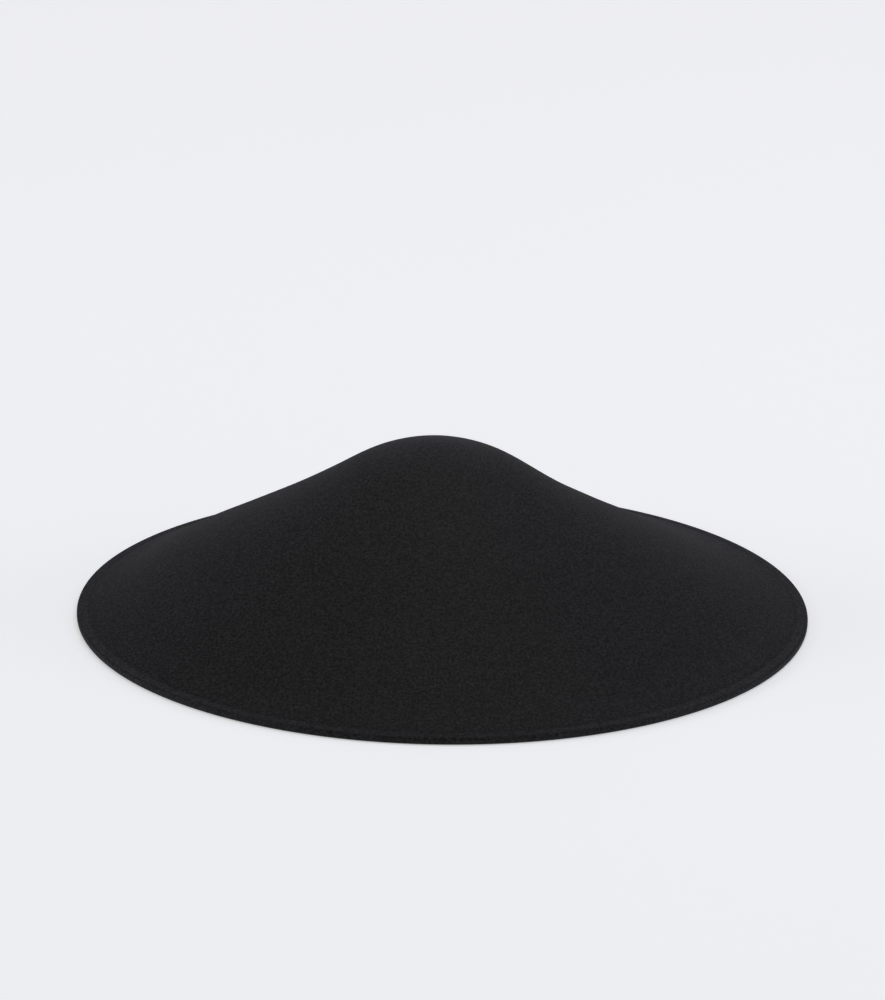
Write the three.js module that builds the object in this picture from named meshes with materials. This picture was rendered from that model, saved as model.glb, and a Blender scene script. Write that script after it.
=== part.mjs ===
// A wide, shallow bell-shaped hat in black wool felt. Crown and brim are one pressed piece with no break between
// them, and the rim is turned under into a flat welt.
// Units are millimetres. +Z is up, and the front faces -Y. The origin is the middle of the rim, on the surface
// that the hat rests on.
import * as THREE from "three";

// Driving dimensions.
const rimDiameter = 480;
const crownHeight = 117; // from the surface that the hat rests on to the outside of the peak
const feltThickness = 2.5;
const weltWidth = 10.5; // the turned-under strip, from the outermost edge in to its cut end
const restWidth = 3; // the band of the rim that is pressed flat where the hat rests
const peakLean = 4.8; // how far the peak stands to the left (-X) of the rim's middle

// What follows from them.
const rimThickness = 2 * feltThickness; // the wall and the strip turned under it
const foldRadius = rimThickness / 2; // the round fold at the edge
const foldRing = rimDiameter / 2 - foldRadius; // radius of the ring that the fold is centred on
const restRing = foldRing - restWidth; // radius where the flat band ends, inwards of the fold
const bellRise = crownHeight - rimThickness;

// The bell's outside from the peak to the rim. out is a share of foldRing, height a share of bellRise, and skew
// the share of bellRise by which the left side stands above that height, and the right side below it.
const BELL = [
  { out: 0.0, height: 1.0, skew: 0.0 },
  { out: 0.1, height: 0.962, skew: 0.002 },
  { out: 0.2, height: 0.884, skew: 0.005 },
  { out: 0.3, height: 0.756, skew: 0.011 },
  { out: 0.4, height: 0.624, skew: 0.019 },
  { out: 0.5, height: 0.506, skew: 0.021 },
  { out: 0.6, height: 0.394, skew: 0.024 },
  { out: 0.7, height: 0.286, skew: 0.024 },
  { out: 0.8, height: 0.177, skew: 0.024 },
  { out: 0.9, height: 0.07, skew: 0.013 },
  { out: 0.95, height: 0.028, skew: 0.006 },
  { out: 1.0, height: 0.0, skew: 0.0 },
];

// Facets.
const segmentsAround = 80;
const outsideRings = 20;
const insideRings = 14;
const foldSteps = 6;

// The slope of one column of BELL at a row, from the rows beside it. The peak and the rim are level.
function slopeAt(column, row) {
  if (row === 0 || row === BELL.length - 1) return 0;
  const [before, here, after] = BELL.slice(row - 1, row + 2);
  const share = (here.out - before.out) / (after.out - before.out);
  const slopeBefore = (here[column] - before[column]) / (here.out - before.out);
  const slopeAfter = (after[column] - here[column]) / (after.out - here.out);
  return slopeBefore * (1 - share) + slopeAfter * share;
}

// One column of BELL, and its slope, at any share of foldRing: a cubic through the rows.
function bellAt(column, out) {
  const share = Math.min(Math.max(out, 0), 1);
  const row = Math.min(BELL.filter((r) => r.out <= share).length, BELL.length - 1) - 1;
  const [from, to] = BELL.slice(row, row + 2);
  const span = to.out - from.out;
  const t = (share - from.out) / span;
  const rise = to[column] - from[column];
  const slopeFrom = span * slopeAt(column, row);
  const slopeTo = span * slopeAt(column, row + 1);
  const curve = 3 * rise - 2 * slopeFrom - slopeTo;
  const twist = slopeFrom + slopeTo - 2 * rise;
  return {
    value: from[column] + t * (slopeFrom + t * (curve + t * twist)),
    slope: (slopeFrom + t * (2 * curve + 3 * t * twist)) / span,
  };
}

// A point of the mean meridian, (radius, height), at a depth under the outside, square to it.
function underOutside(radius, depth) {
  const { value, slope } = bellAt("height", radius / foldRing);
  const steepness = (slope * bellRise) / foldRing;
  const length = Math.hypot(1, steepness);
  return new THREE.Vector2(
    Math.max(radius + (depth * steepness) / length, 0),
    rimThickness + value * bellRise - depth / length,
  );
}

// The closed section that is turned round the axis, from the underside of the peak out to the rim and back over
// the outside, so that the lathe's faces point out.
function section() {
  const weltEnd = rimDiameter / 2 - weltWidth;
  const inside = Array.from({ length: insideRings + 1 }, (_, i) =>
    underOutside((weltEnd * i) / insideRings, feltThickness),
  );
  const weltUnderside = [underOutside(weltEnd, rimThickness), new THREE.Vector2(restRing, 0)];
  const fold = Array.from({ length: foldSteps + 1 }, (_, i) => {
    const angle = Math.PI * (i / foldSteps - 0.5);
    return new THREE.Vector2(
      foldRing + foldRadius * Math.cos(angle),
      foldRadius * (1 + Math.sin(angle)),
    );
  });
  const outside = Array.from({ length: outsideRings }, (_, i) =>
    underOutside(foldRing * (1 - (i + 1) / outsideRings), 0),
  );
  return [...inside, ...weltUnderside, ...fold, ...outside];
}

// Leans the peak and skews the two sides of a turned bell, in place. Both fade out towards the flat band, so
// that the rim stays round and the hat rests level.
function settle(geometry) {
  const positions = geometry.getAttribute("position");
  const point = new THREE.Vector3();
  for (let i = 0; i < positions.count; i += 1) {
    point.fromBufferAttribute(positions, i);
    const radius = Math.hypot(point.x, point.y);
    const out = Math.min(radius / restRing, 1);
    const leftward = radius > 0 ? -point.x / radius : 0;
    point.z += bellRise * bellAt("skew", out).value * leftward;
    point.x -= peakLean * (1 - out ** 2);
    positions.setXYZ(i, point.x, point.y, point.z);
  }
  return geometry;
}

// Black wool felt, matt.
const blackFelt = new THREE.MeshStandardMaterial({ color: 0x202021, roughness: 0.95, metalness: 0 });

// The whole hat is one solid, because crown, brim and welt are one piece of felt.
function feltBody() {
  const turned = new THREE.LatheGeometry(section(), segmentsAround).rotateX(Math.PI / 2);
  const body = new THREE.Mesh(settle(turned), blackFelt);
  body.name = "felt_body";
  return body;
}

const hat = new THREE.Group();
hat.add(feltBody());

export default hat;
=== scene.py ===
"""Dresses a wide, bell-shaped hat in black wool felt.

The pieces are the felt, with its rim turned under, and the two rows of stitches that hold the rim. Round
them are a plain pale floor, soft light and the camera. Units are metres, +Z is up, and the front faces -Y.
"""

import math

import bpy
import numpy as np
from mathutils import Matrix, Vector


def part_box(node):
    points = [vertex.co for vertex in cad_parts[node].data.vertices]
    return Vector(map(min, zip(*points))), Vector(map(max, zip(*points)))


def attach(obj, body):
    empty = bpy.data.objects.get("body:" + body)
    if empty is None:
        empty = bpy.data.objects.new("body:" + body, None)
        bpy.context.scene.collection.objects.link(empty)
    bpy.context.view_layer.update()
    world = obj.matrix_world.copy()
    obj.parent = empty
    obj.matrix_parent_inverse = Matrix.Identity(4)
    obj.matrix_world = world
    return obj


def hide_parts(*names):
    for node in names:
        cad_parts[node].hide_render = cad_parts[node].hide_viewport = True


MM = 0.001

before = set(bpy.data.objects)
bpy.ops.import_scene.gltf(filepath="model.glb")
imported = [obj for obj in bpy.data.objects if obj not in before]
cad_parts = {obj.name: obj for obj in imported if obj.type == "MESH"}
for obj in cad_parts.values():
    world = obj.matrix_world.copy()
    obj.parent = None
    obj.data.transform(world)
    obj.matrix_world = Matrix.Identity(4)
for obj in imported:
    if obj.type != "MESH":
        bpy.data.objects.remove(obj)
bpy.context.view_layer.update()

# The hat's sizes. The frame gives the first two, and the others are those of the felt.
lowest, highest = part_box("felt_body")
RIM_RADIUS = (highest.x - lowest.x) / 2
CROWN_HEIGHT = highest.z - lowest.z
FELT_THICKNESS = 2.5 * MM
WELT_WIDTH = 10.5 * MM
REST_WIDTH = 3 * MM
PEAK_LEAN = 4.8 * MM

RIM_THICKNESS = 2 * FELT_THICKNESS
FOLD_RADIUS = RIM_THICKNESS / 2
FOLD_RING = RIM_RADIUS - FOLD_RADIUS
REST_RING = FOLD_RING - REST_WIDTH
WELT_END = RIM_RADIUS - WELT_WIDTH
BELL_RISE = CROWN_HEIGHT - RIM_THICKNESS

# The bell's outside from the peak to the rim, the same as in the frame's solid. A fit of the photograph's
# outline gave the rows, and they are rounded. The columns are the share of FOLD_RING, the height as a share
# of BELL_RISE, and the share of BELL_RISE by which the left side stands higher.
BELL = np.array(
    [
        (0.0, 1.0, 0.0),
        (0.1, 0.962, 0.002),
        (0.2, 0.884, 0.005),
        (0.3, 0.756, 0.011),
        (0.4, 0.624, 0.019),
        (0.5, 0.506, 0.021),
        (0.6, 0.394, 0.024),
        (0.7, 0.286, 0.024),
        (0.8, 0.177, 0.024),
        (0.9, 0.07, 0.013),
        (0.95, 0.028, 0.006),
        (1.0, 0.0, 0.0),
    ]
)
OUT, HEIGHT, SKEW = range(3)

# The stitch row, and the groove that it pulls into the felt.
STITCH_RING = RIM_RADIUS - 7.3 * MM
STITCH_PITCH = 3.2 * MM
STITCH_LENGTH = 2.7 * MM
STITCH_DIP = 0.45 * MM  # how far a stitch's ends go down into the felt
STITCH_LEVELNESS = 4  # the higher it is, the nearer to its ends a stitch stays level
STITCH_TAPER = 0.98  # at 1, a stitch's ends would narrow to a point
STITCH_BLUNTNESS = 8  # the higher it is, the nearer to its ends a stitch keeps its full width
THREAD_DIAMETER = 0.45 * MM
THREAD_SIDES = 6
THREAD_STEPS = 8
GROOVE_DEPTH = 0.45 * MM
GROOVE_WIDTH = 0.9 * MM

# The slit between the wall and the strip that is turned under it, at the strip's cut end.
SLIT_DEPTH = 1.2 * MM
SLIT_GAP = 0.25 * MM
CUT_EDGE_ROUND = 0.5 * MM

# The felt's surface. Sizes and heights here are in millimetres. The weights say how much each kind of
# unevenness counts in the felt's colour and in its relief.
FELT_COLOUR = (0.0144, 0.0144, 0.0145)
PATCH_SIZE = 38
CLUMP_SIZE = 5
GRAIN_SIZE = 1.5
GRAIN_DETAIL = 1.5
STRAND_LENGTH = 3.0
STRAND_WIDTH = 0.8
STRAND_CURL = 0.6
STRAND_ANGLES = (10, 70, 130)  # in degrees from the X axis
COLOUR_WEIGHTS = {"patches": 0.25, "clumps": 0.6, "grain": 5.0, "tangle": 1.1}
RELIEF_WEIGHTS = {"clumps": 0.6, "grain": 0.8, "tangle": 0.4}
RELIEF_DEPTH = 0.25 * MM
DARKEST_SHADE = 0.2  # the least share of FELT_COLOUR that is left in the darkest grain
PEAK_HEIGHTS = (45, 105)  # the heights over which the painted highlight and the weaker grain come in towards the peak
PEAK_PAINTED_HIGHLIGHT = 0.45  # the share by which the felt's colour is painted paler at the peak: a painted highlight on the crown's top
PEAK_EVENER = 0.4  # the share by which its grain is weaker there
COAT_WEIGHT = 0.3
COAT_ROUGHNESS = 0.6
SHEEN_WEIGHT = 0.02
SHEEN_ROUGHNESS = 0.6
SHEEN_TINT = (1.0, 0.9, 0.97)

# The thread's surface. The size of its plies is in millimetres.
THREAD_COLOUR = (0.009, 0.009, 0.0092)
THREAD_ROUGHNESS = 0.7
THREAD_GLOSS = 0.25
PLY_SIZE = 0.35
PLY_CONTRAST = 0.8

# Faces of the felt's mesh.
SEGMENTS_AROUND = 512
RINGS_OUTSIDE = 100
RINGS_INSIDE = 62
RINGS_WELT = 10
RINGS_CROWDING = 1.45  # above 1, the rings outside crowd towards the rim
FOLD_STEPS = 18
FOLD_SQUARENESS = 2.8  # 2 is a round fold, and above it the fold is pressed flatter in front and on top
SLOPE_STEP = 0.2 * MM  # how far to either side of a place the bell's slope is taken
NEARLY_ZERO = 1e-9  # stands in for a radius of 0 where it would divide

# The studio. A lamp's azimuth is 0 in front of the hat and 90 to its right, and its power is in watts. A fit
# to the photograph's brightness gave the powers, and they are rounded. The lamps' tints make the felt bluish
# on both sides, neutral in front and faintly rose along the rear rim.
FLOOR_SIZE = 24.0
FLOOR_COLOUR = (0.8, 0.8, 0.8)
FLOOR_GLOW = (0.373, 0.373, 0.38)
SURROUND_COLOUR = (0.98, 0.99, 1.03)
SURROUND_STRENGTH = 0.2
LAMP_DISTANCE = 6.0
LAMP_DIAMETER = 3.0
WARM = (1.09, 1.12, 0.82)
COOL = (0.935, 0.955, 1.19)
ROSE = (1.0, 0.92, 1.15)
LAMPS = [
    {"name": "overhead", "azimuth": 0, "elevation": 89, "power": 50, "colour": WARM},
    {"name": "left", "azimuth": 270, "elevation": 20, "power": 90, "colour": COOL},
    {"name": "right", "azimuth": 90, "elevation": 20, "power": 70, "colour": COOL},
    {"name": "right_high", "azimuth": 90, "elevation": 60, "power": 45, "colour": COOL},
    {"name": "behind", "azimuth": 179, "elevation": 25, "power": 30, "colour": ROSE},
]

# The photograph's view of the hat. A fit of its outline gave the camera's place, with small changes.
FRAME_PIXELS = (885, 1000)
CAMERA_DISTANCE = 2.5
CAMERA_ELEVATION = math.radians(19.9)
CAMERA_ROLL = math.radians(0.693)
CAMERA_CLIP = (0.05, 60)  # how near and how far the camera sees
PIXELS_PER_METRE = 1515.8  # at the origin's distance
ORIGIN_PIXEL = (442.35, 609.25)  # across from the left and down from the top
SENSOR_WIDTH = 36.0  # in millimetres, as the lens is


def spline(column, share):
    """A column of BELL at any share of FOLD_RING, as a smooth curve through its rows, level at both ends."""
    x, y = BELL[:, OUT], BELL[:, column]
    gaps = np.diff(x)
    rises = np.diff(y) / gaps
    count = len(x)
    matrix, right = np.eye(count), np.zeros(count)
    for i in range(1, count - 1):
        matrix[i, i - 1 : i + 2] = 1 / gaps[i - 1], 2 / gaps[i - 1] + 2 / gaps[i], 1 / gaps[i]
        right[i] = 3 * (rises[i - 1] / gaps[i - 1] + rises[i] / gaps[i])
    slopes = np.linalg.solve(matrix, right)
    share = np.clip(share, 0, 1)
    i = np.clip(np.searchsorted(x, share, side="right") - 1, 0, count - 2)
    t = (share - x[i]) / gaps[i]
    rise = y[i + 1] - y[i]
    start, end = slopes[i] * gaps[i], slopes[i + 1] * gaps[i]
    return y[i] + t * (start + t * ((3 * rise - 2 * start - end) + t * (start + end - 2 * rise)))


def outside_height(radius):
    """The height of the mean bell's outside."""
    return RIM_THICKNESS + BELL_RISE * spline(HEIGHT, radius / FOLD_RING)


def groove(radius):
    """How deep the felt is pulled in by the stitches."""
    return GROOVE_DEPTH * np.exp(-(((radius - STITCH_RING) / GROOVE_WIDTH) ** 2))


def under_outside(radius, depth):
    """Points of the mean meridian, as (radius, height) rows, at a depth under the outside, square to it."""
    radius = np.asarray(radius, float)
    height = outside_height(radius)
    rise = outside_height(radius + SLOPE_STEP) - outside_height(radius - SLOPE_STEP)
    steepness = np.where(radius > SLOPE_STEP, rise / (2 * SLOPE_STEP), 0.0)
    length = np.hypot(1, steepness)
    return np.column_stack([np.maximum(radius + depth * steepness / length, 0), height - depth / length])


def section():
    """The felt's section, as (radius, height) rows from under the peak, round the rim, to its top."""
    inside = under_outside(np.linspace(0, WELT_END, RINGS_INSIDE), FELT_THICKNESS)
    slit_end = under_outside([WELT_END + SLIT_DEPTH], FELT_THICKNESS)
    slit_floor = under_outside([WELT_END], FELT_THICKNESS + SLIT_GAP)
    cut_edge = under_outside([WELT_END], RIM_THICKNESS - CUT_EDGE_ROUND)
    underside = under_outside(
        np.linspace(WELT_END + CUT_EDGE_ROUND, REST_RING, RINGS_WELT), RIM_THICKNESS
    )
    underside[:, 1] += groove(underside[:, 0])
    underside[-1, 1] = 0
    angles = math.pi * (np.linspace(0, 1, FOLD_STEPS) - 0.5)
    outward = np.abs(np.cos(angles)) ** (2 / FOLD_SQUARENESS)
    upward = np.sign(angles) * np.abs(np.sin(angles)) ** (2 / FOLD_SQUARENESS)
    fold = np.column_stack([FOLD_RING + FOLD_RADIUS * outward, FOLD_RADIUS * (1 + upward)])
    spread = np.linspace(0, 1, RINGS_OUTSIDE)[1:]
    radii = FOLD_RING * (1 - spread**RINGS_CROWDING)
    outside = np.column_stack([radii, outside_height(radii) - groove(radii)])
    return np.vstack([inside, slit_end, slit_floor, cut_edge, underside, fold, outside])


def settle(points):
    """Leans the peak and skews the two sides, as the solid has them, and lets nothing go below the floor."""
    x, y, z = points.T
    radius = np.hypot(x, y)
    share = np.minimum(radius / REST_RING, 1)
    leftward = -x / np.maximum(radius, NEARLY_ZERO)
    lifted = z + BELL_RISE * spline(SKEW, share) * leftward
    return np.column_stack([x - PEAK_LEAN * (1 - share**2), y, np.maximum(lifted, 0)])


def stitch():
    """One stitch, lying on the felt with both ends dipping in, as points (outward, onward, up) and faces."""
    along = np.linspace(-1, 1, THREAD_STEPS)
    turn = np.arange(THREAD_SIDES) * 2 * math.pi / THREAD_SIDES
    radius = THREAD_DIAMETER / 2 * np.sqrt(1 - STITCH_TAPER * along**STITCH_BLUNTNESS)
    middle = THREAD_DIAMETER / 4 - STITCH_DIP * along**STITCH_LEVELNESS
    outward = np.outer(radius, np.cos(turn))
    onward = np.repeat(along[:, None] * STITCH_LENGTH / 2, THREAD_SIDES, axis=1)
    up = middle[:, None] + np.outer(radius, np.sin(turn))
    index = np.arange(outward.size).reshape(outward.shape)
    beside = np.roll(index, -1, axis=1)
    tube = np.stack([index[:-1], index[1:], beside[1:], beside[:-1]], axis=2).reshape(-1, 4)
    faces = [*tube.tolist(), index[0].tolist(), index[-1][::-1].tolist()]
    return outward.ravel(), onward.ravel(), up.ravel(), faces


def stitch_row(name, depth, side, material):
    """A ring of stitches at a depth under the outside. side is 1 on the outside and -1 on the underside."""
    outward, onward, up, faces = stitch()
    count = round(2 * math.pi * STITCH_RING / STITCH_PITCH)
    angles = np.arange(count)[:, None] * 2 * math.pi / count
    radius, height = under_outside([STITCH_RING], depth)[0]
    x = (radius + outward) * np.cos(angles) - onward * np.sin(angles)
    y = (radius + outward) * np.sin(angles) + onward * np.cos(angles)
    z = np.broadcast_to(height + side * (up - GROOVE_DEPTH), x.shape)
    points = np.column_stack([x.ravel(), y.ravel(), z.ravel()])
    all_faces = [
        [copy * len(up) + corner for corner in face[::side]] for copy in range(count) for face in faces
    ]
    return mesh_object(name, settle(points), all_faces, material)


def mesh_object(name, points, faces, material):
    """A smooth-shaded mesh in the scene, with one material."""
    mesh = bpy.data.meshes.new(name)
    mesh.from_pydata([tuple(p) for p in points], [], faces)
    mesh.update()
    mesh.shade_smooth()
    mesh.materials.append(material)
    made = bpy.data.objects.new(name, mesh)
    bpy.context.scene.collection.objects.link(made)
    return made


def felt_hat(material):
    """The felt as one closed mesh: the section turned round the axis, then settled."""
    profile = section()
    rings = profile[1:-1]
    around = np.arange(SEGMENTS_AROUND) * 2 * math.pi / SEGMENTS_AROUND
    x = rings[:, :1] * np.cos(around)
    y = rings[:, :1] * np.sin(around)
    z = np.repeat(rings[:, 1:], SEGMENTS_AROUND, axis=1)
    grid = np.stack([x, y, z], axis=2).reshape(-1, 3)
    poles = np.array([(0, 0, profile[0, 1]), (0, 0, profile[-1, 1])])
    points = settle(np.vstack([grid, poles]))
    index = np.arange(len(grid)).reshape(len(rings), SEGMENTS_AROUND)
    beside = np.roll(index, -1, axis=1)
    quads = np.stack([index[:-1], index[1:], beside[1:], beside[:-1]], axis=2).reshape(-1, 4)
    under, top = len(grid), len(grid) + 1
    caps = [(under, int(a), int(b)) for a, b in zip(index[0], beside[0])]
    caps += [(top, int(b), int(a)) for a, b in zip(index[-1], beside[-1])]
    return mesh_object("felt_hat", points, [tuple(q) for q in quads.tolist()] + caps, material)


class Nodes:
    """A material's node tree, built by short calls. Places in it are in millimetres, in the part's frame."""

    def __init__(self, name):
        self.material = bpy.data.materials.new(name)
        self.material.use_nodes = True
        self.tree = self.material.node_tree
        self.shader = self.tree.nodes["Principled BSDF"]
        place = self.tree.nodes.new("ShaderNodeTexCoord").outputs["Object"]
        self.millimetres = self.vector("SCALE", place, 1 / MM)

    def link(self, value, socket):
        """Gives a socket its value, which is a plain one or another node's output."""
        if isinstance(value, bpy.types.NodeSocket):
            self.tree.links.new(value, socket)
        else:
            socket.default_value = value

    def vector(self, operation, value, other):
        """Vector maths on two values. For SCALE the other one is a plain number."""
        node = self.tree.nodes.new("ShaderNodeVectorMath")
        node.operation = operation
        self.link(value, node.inputs[0])
        self.link(other, node.inputs["Scale"] if operation == "SCALE" else node.inputs[1])
        return node.outputs[0]

    def math(self, operation, *values):
        """Maths on plain numbers or outputs."""
        node = self.tree.nodes.new("ShaderNodeMath")
        node.operation = operation
        for value, socket in zip(values, node.inputs):
            self.link(value, socket)
        return node.outputs[0]

    def noise(self, size, detail=2.0, distortion=0.0, place=None):
        """Noise about 0, mostly within 0.3 either way, with features of a size in millimetres."""
        node = self.tree.nodes.new("ShaderNodeTexNoise")
        self.link(place or self.millimetres, node.inputs["Vector"])
        node.inputs["Scale"].default_value = 1 / size
        node.inputs["Detail"].default_value = detail
        node.inputs["Distortion"].default_value = distortion
        return self.math("SUBTRACT", node.outputs["Fac"], 0.5)

    def rise(self, start, end):
        """0 below a height in millimetres, 1 above another, and smooth between them."""
        place = self.tree.nodes.new("ShaderNodeSeparateXYZ")
        self.link(self.millimetres, place.inputs[0])
        node = self.tree.nodes.new("ShaderNodeMapRange")
        node.interpolation_type = "SMOOTHSTEP"
        self.link(place.outputs["Z"], node.inputs["Value"])
        node.inputs["From Min"].default_value = start
        node.inputs["From Max"].default_value = end
        return node.outputs["Result"]

    def fibres(self, angle, length, width, curl):
        """Noise about 0 that is drawn out level, at an angle in degrees to the X axis, into short strands."""
        rotate = self.tree.nodes.new("ShaderNodeVectorRotate")
        rotate.rotation_type = "Z_AXIS"
        self.link(self.millimetres, rotate.inputs["Vector"])
        rotate.inputs["Angle"].default_value = math.radians(angle)
        drawn_out = self.vector("MULTIPLY", rotate.outputs["Vector"], (width / length, 1, 1))
        return self.noise(width, detail=1, distortion=curl, place=drawn_out)

    def total(self, terms, start=0.0):
        """start plus each value times its weight."""
        total = start
        for value, weight in terms:
            total = self.math("MULTIPLY_ADD", value, weight, total)
        return total

    def tint(self, colour, factor):
        """Colours the surface, lighter or darker by a factor about 1."""
        self.link(self.vector("SCALE", colour, factor), self.shader.inputs["Base Color"])

    def bump(self, height, depth):
        """Raises the surface by a height times a depth in metres."""
        node = self.tree.nodes.new("ShaderNodeBump")
        node.inputs["Distance"].default_value = depth
        self.link(height, node.inputs["Height"])
        self.link(node.outputs["Normal"], self.shader.inputs["Normal"])
        self.link(node.outputs["Normal"], self.shader.inputs["Coat Normal"])


def felt_material():
    """Pressed wool felt: matt, nearly black, with a fine tangled grain, a soft sheen at grazing angles and a
    painted highlight towards the peak.
    """
    felt = Nodes("black_wool_felt")
    strands = [felt.fibres(angle, STRAND_LENGTH, STRAND_WIDTH, STRAND_CURL) for angle in STRAND_ANGLES]
    uneven = {
        "patches": felt.noise(PATCH_SIZE),
        "clumps": felt.noise(CLUMP_SIZE),
        "grain": felt.noise(GRAIN_SIZE, detail=GRAIN_DETAIL),
        "tangle": felt.total([(strand, 1.0) for strand in strands]),
    }
    mottle = felt.total([(uneven[kind], weight) for kind, weight in COLOUR_WEIGHTS.items()])
    relief = felt.total([(uneven[kind], weight) for kind, weight in RELIEF_WEIGHTS.items()])
    # Towards the peak the felt's colour is painted paler, a painted highlight on the crown's top, and its
    # grain is weaker.
    peak_highlight_and_evening_mask = felt.rise(*PEAK_HEIGHTS)
    weaker = felt.total([(peak_highlight_and_evening_mask, -PEAK_EVENER)], start=1.0)
    painted_highlight = felt.total([(peak_highlight_and_evening_mask, PEAK_PAINTED_HIGHLIGHT)], start=1.0)
    shade = felt.math("MAXIMUM", felt.total([(mottle, weaker)], start=1.0), DARKEST_SHADE)
    felt.tint(FELT_COLOUR, felt.math("MULTIPLY", shade, painted_highlight))
    felt.bump(relief, RELIEF_DEPTH)
    shader = felt.shader
    shader.inputs["Diffuse Roughness"].default_value = 1.0
    shader.inputs["Roughness"].default_value = 1.0
    shader.inputs["Specular IOR Level"].default_value = 0.0
    shader.inputs["Coat Weight"].default_value = COAT_WEIGHT
    shader.inputs["Coat Roughness"].default_value = COAT_ROUGHNESS
    shader.inputs["Sheen Weight"].default_value = SHEEN_WEIGHT
    shader.inputs["Sheen Roughness"].default_value = SHEEN_ROUGHNESS
    shader.inputs["Sheen Tint"].default_value = (*SHEEN_TINT, 1)
    return felt.material


def thread_material():
    """Matt black sewing thread."""
    thread = Nodes("black_thread")
    thread.tint(THREAD_COLOUR, thread.total([(thread.noise(PLY_SIZE), PLY_CONTRAST)], start=1.0))
    thread.shader.inputs["Roughness"].default_value = THREAD_ROUGHNESS
    thread.shader.inputs["Specular IOR Level"].default_value = THREAD_GLOSS
    return thread.material


def floor():
    """The plain pale floor, which glows as a light table does, so that the shadow on it stays faint."""
    material = bpy.data.materials.new("pale_floor")
    material.use_nodes = True
    shader = material.node_tree.nodes["Principled BSDF"]
    shader.inputs["Base Color"].default_value = (*FLOOR_COLOUR, 1)
    shader.inputs["Roughness"].default_value = 1.0
    shader.inputs["Specular IOR Level"].default_value = 0.0
    shader.inputs["Emission Color"].default_value = (*FLOOR_GLOW, 1)
    shader.inputs["Emission Strength"].default_value = 1.0
    half = FLOOR_SIZE / 2
    corners = [(-half, -half, 0), (half, -half, 0), (half, half, 0), (-half, half, 0)]
    mesh_object("floor", corners, [(0, 1, 2, 3)], material)


def camera():
    """Stands where the photograph was taken from, and looks so that the origin falls on its pixel."""
    scene = bpy.context.scene
    data = bpy.data.cameras.new("camera")
    made = bpy.data.objects.new("camera", data)
    scene.collection.objects.link(made)
    scene.camera = made
    pixels_focal = PIXELS_PER_METRE * CAMERA_DISTANCE
    data.sensor_width = SENSOR_WIDTH
    data.lens = pixels_focal * SENSOR_WIDTH / max(FRAME_PIXELS)
    data.clip_start, data.clip_end = CAMERA_CLIP
    sin_e, cos_e = math.sin(CAMERA_ELEVATION), math.cos(CAMERA_ELEVATION)
    back = Vector((0, -cos_e, sin_e))
    right, up = Vector((1, 0, 0)), Vector((0, sin_e, cos_e))
    rolled_right = math.cos(CAMERA_ROLL) * right + math.sin(CAMERA_ROLL) * up
    rolled_up = back.cross(rolled_right)
    level = Matrix((rolled_right, rolled_up, back)).transposed()
    to_origin = Vector(
        (
            (ORIGIN_PIXEL[0] - FRAME_PIXELS[0] / 2) / pixels_focal,
            (FRAME_PIXELS[1] / 2 - ORIGIN_PIXEL[1]) / pixels_focal,
            -1,
        )
    )
    turn = to_origin.rotation_difference(Vector((0, 0, -1))).to_matrix()
    made.matrix_world = Matrix.Translation(back * CAMERA_DISTANCE) @ (level @ turn).to_4x4()


def lamp(name, azimuth, elevation, power, colour):
    """A soft disc of light that faces the hat, at angles in degrees as LAMPS has them."""
    data = bpy.data.lights.new(name, "AREA")
    data.shape = "DISK"
    data.size = LAMP_DIAMETER
    data.energy = power
    data.color = colour
    turn, rise = math.radians(azimuth), math.radians(elevation)
    towards = Vector((math.sin(turn) * math.cos(rise), -math.cos(turn) * math.cos(rise), math.sin(rise)))
    made = bpy.data.objects.new(name, data)
    made.location = towards * LAMP_DISTANCE
    made.rotation_mode = "QUATERNION"
    made.rotation_quaternion = towards.to_track_quat("Z", "Y")
    bpy.context.scene.collection.objects.link(made)


def studio():
    """Soft light: the lamps, and an even pale surround."""
    scene = bpy.context.scene
    world = bpy.data.worlds.new("surround")
    world.use_nodes = True
    surround = world.node_tree.nodes["Background"]
    surround.inputs["Color"].default_value = (*SURROUND_COLOUR, 1)
    surround.inputs["Strength"].default_value = SURROUND_STRENGTH
    scene.world = world
    scene.view_settings.view_transform = "Standard"
    for row in LAMPS:
        lamp(**row)


felt = felt_hat(felt_material())
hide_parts("felt_body")
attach(felt, "root")

thread = thread_material()
for name, depth, side in (("stitches_outside", 0, 1), ("stitches_underside", RIM_THICKNESS, -1)):
    row = stitch_row(name, depth, side, thread)
    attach(row, "root")

floor()
studio()
camera()
